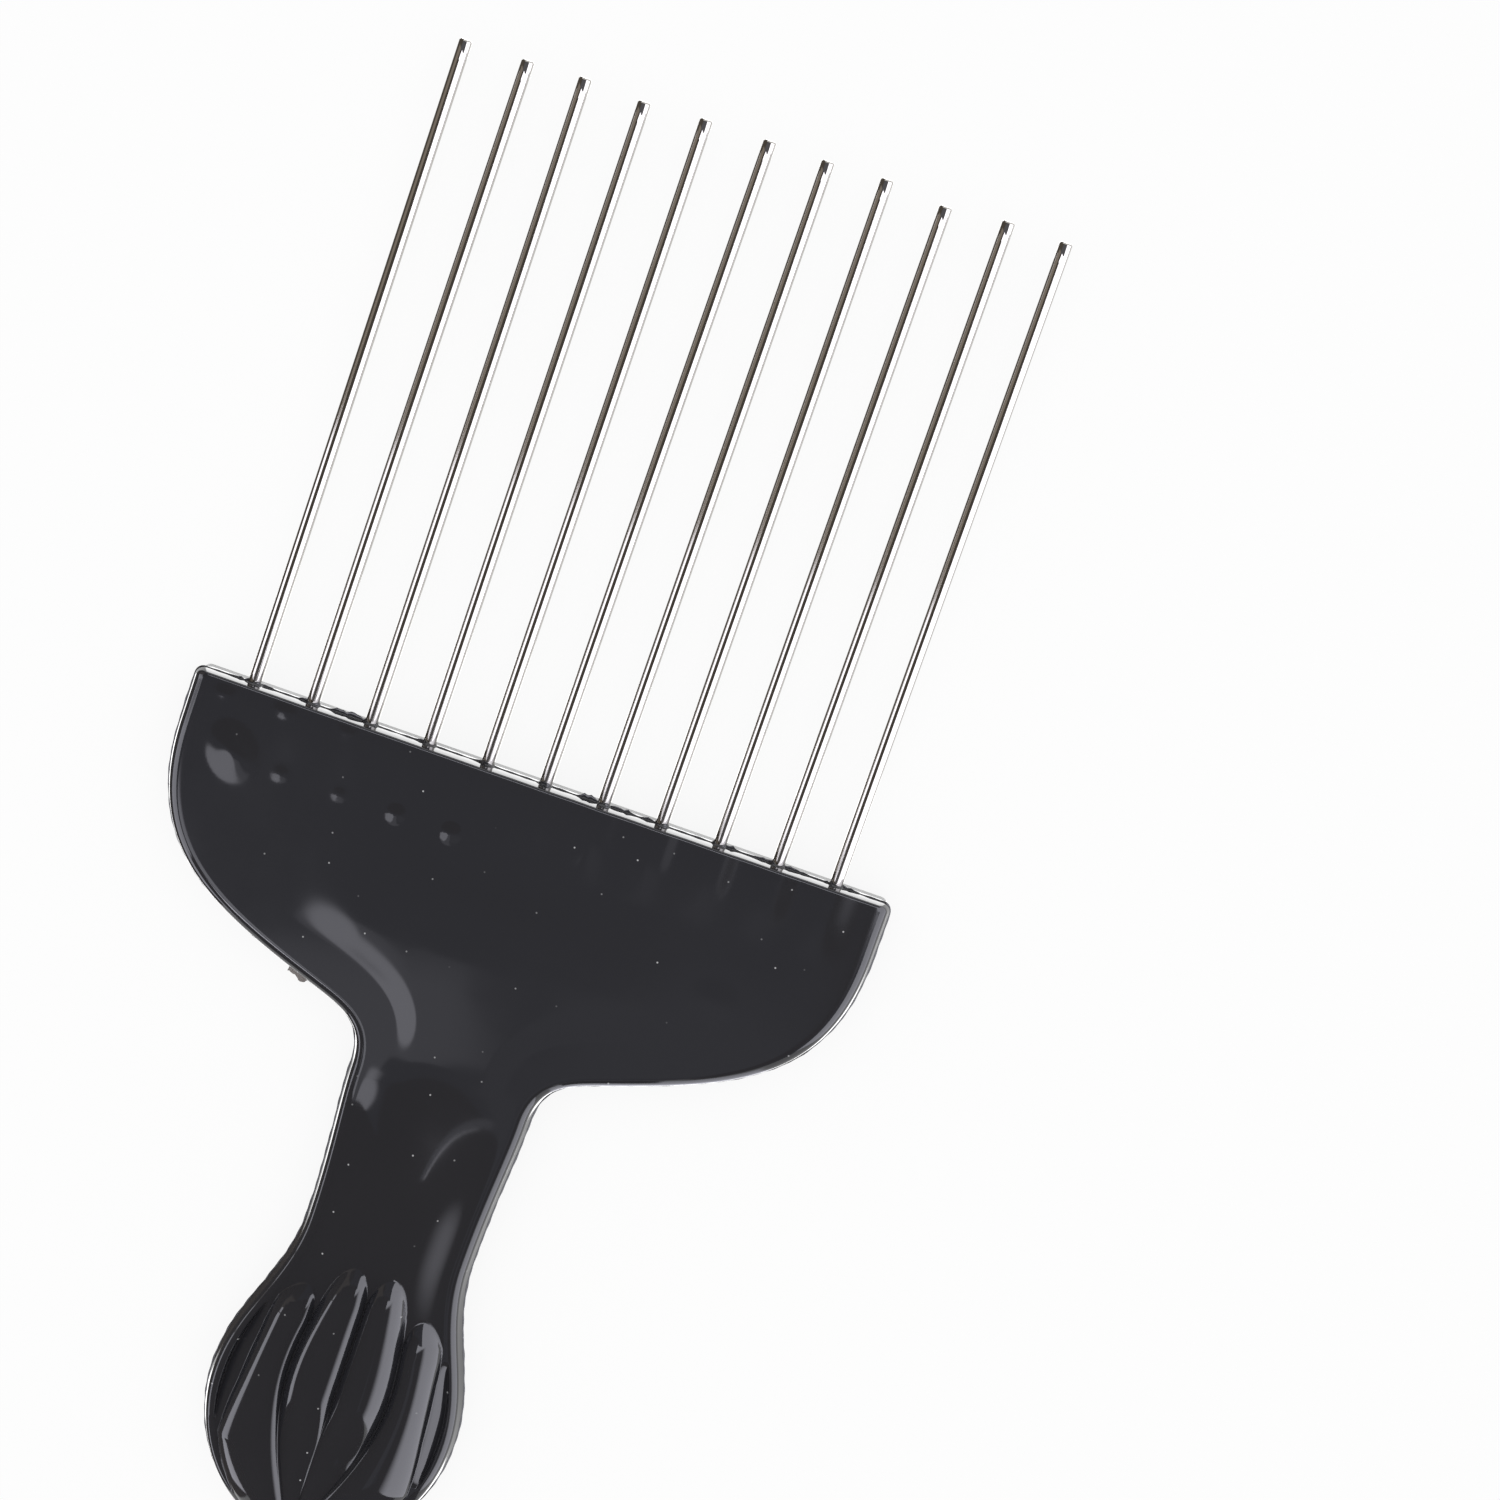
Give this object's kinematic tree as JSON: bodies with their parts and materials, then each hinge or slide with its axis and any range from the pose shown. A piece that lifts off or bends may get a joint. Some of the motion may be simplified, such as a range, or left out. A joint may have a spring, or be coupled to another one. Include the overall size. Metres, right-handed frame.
{
  "type": "afro pick",
  "caption": "Hair pick: a one-piece glossy moulded half-moon head and lobed grip, with a row of long, straight, parallel round steel wire teeth set into the head's top edge.",
  "frame": {"origin": "centre of the overall footprint, in the plane of the flat back that the pick lies on", "axes": "+X across the head, +Y along the teeth towards their tips, +Z out of the crowned front face"},
  "size_m": [0.079, 0.1628, 0.0087],
  "materials": {
    "moulding": "glossy black, moulded",
    "wire": "bright drawn and plated steel"
  },
  "bodies": {
    "root": {"handle": "moulding", "tooth_01": "wire", "tooth_02": "wire", "tooth_03": "wire", "tooth_04": "wire", "tooth_05": "wire", "tooth_06": "wire", "tooth_07": "wire", "tooth_08": "wire", "tooth_09": "wire", "tooth_10": "wire", "tooth_11": "wire"}
  },
  "joints": []
}
